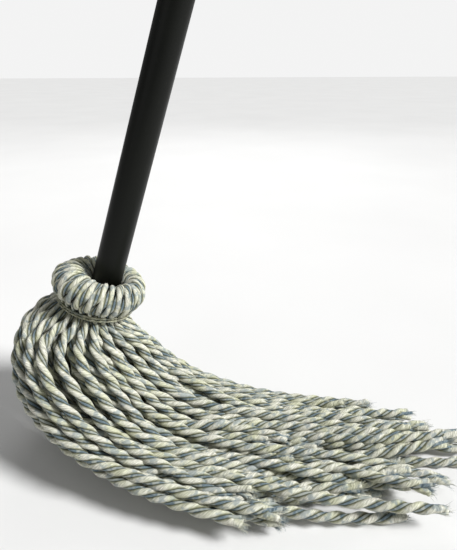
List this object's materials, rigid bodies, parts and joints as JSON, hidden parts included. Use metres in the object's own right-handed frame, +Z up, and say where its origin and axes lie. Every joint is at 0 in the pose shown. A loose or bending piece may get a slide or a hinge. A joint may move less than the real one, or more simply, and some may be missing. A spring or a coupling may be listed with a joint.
{
  "type": "string mop",
  "caption": "String mop with a leaning black tube handle, a folded yarn collar tied at the waist, and a skirt of thick twisted yarn swept along the floor.",
  "frame": {"origin": "centre of the bounding box, on the floor the yarn lies on", "axes": "+Z up from the floor, +X along the floor the way the handle leans and the yarn is swept, +Y across the sweep"},
  "size_m": [0.459, 0.2174, 1.2428],
  "materials": {
    "black_paint": "satin black powder coat",
    "cap_plastic": "moulded black plastic",
    "pale_wood": "plain turned wood",
    "bright_steel": "bright drawn steel",
    "galvanised_wire": "dull galvanised",
    "cream_cord": "twisted cotton cord",
    "blended_yarn": "four-ply cotton blend, cream and blue-grey plies"
  },
  "bodies": {
    "handle": {"handle_tube": "black_paint", "hanger_cap": "cap_plastic", "end_plug": "pale_wood", "retaining_pin": "bright_steel", "binding_wire": "galvanised_wire", "waist_cord": "cream_cord", "collar_fold_01": "blended_yarn", "collar_fold_02": "blended_yarn", "collar_fold_03": "blended_yarn", "collar_fold_04": "blended_yarn", "collar_fold_05": "blended_yarn", "collar_fold_06": "blended_yarn", "collar_fold_07": "blended_yarn", "collar_fold_08": "blended_yarn", "collar_fold_09": "blended_yarn", "collar_fold_10": "blended_yarn", "collar_fold_11": "blended_yarn", "collar_fold_12": "blended_yarn", "collar_fold_13": "blended_yarn"},
    "neck": {"neck_bundle": "blended_yarn"},
    "skirt": {"strand_01": "blended_yarn", "strand_02": "blended_yarn", "strand_03": "blended_yarn", "strand_04": "blended_yarn", "strand_05": "blended_yarn", "strand_06": "blended_yarn", "strand_07": "blended_yarn", "strand_08": "blended_yarn", "strand_09": "blended_yarn", "strand_10": "blended_yarn", "strand_11": "blended_yarn", "strand_12": "blended_yarn", "strand_13": "blended_yarn", "strand_14": "blended_yarn", "strand_15": "blended_yarn", "strand_16": "blended_yarn", "strand_17": "blended_yarn", "strand_18": "blended_yarn", "strand_19": "blended_yarn", "strand_20": "blended_yarn", "strand_21": "blended_yarn", "strand_22": "blended_yarn", "strand_23": "blended_yarn", "strand_24": "blended_yarn", "strand_25": "blended_yarn", "strand_26": "blended_yarn", "strand_27": "blended_yarn", "strand_28": "blended_yarn", "strand_29": "blended_yarn", "strand_30": "blended_yarn", "strand_31": "blended_yarn", "strand_32": "blended_yarn", "strand_33": "blended_yarn", "strand_34": "blended_yarn", "strand_35": "blended_yarn", "strand_36": "blended_yarn", "strand_37": "blended_yarn", "strand_38": "blended_yarn"}
  },
  "joints": [
    {"name": "skirt_turn", "type": "hinge", "parent": "handle", "child": "neck", "pos_m": [-0.17148, 0.0612, 0.07933], "axis": [0.3173, 0, 0.9483], "range_deg": [-40, 40]},
    {"name": "skirt_swing", "type": "hinge", "parent": "neck", "child": "skirt", "pos_m": [-0.17148, 0.0612, 0.07933], "axis": [0, -1, 0], "range_deg": [-30, 30]}
  ]
}
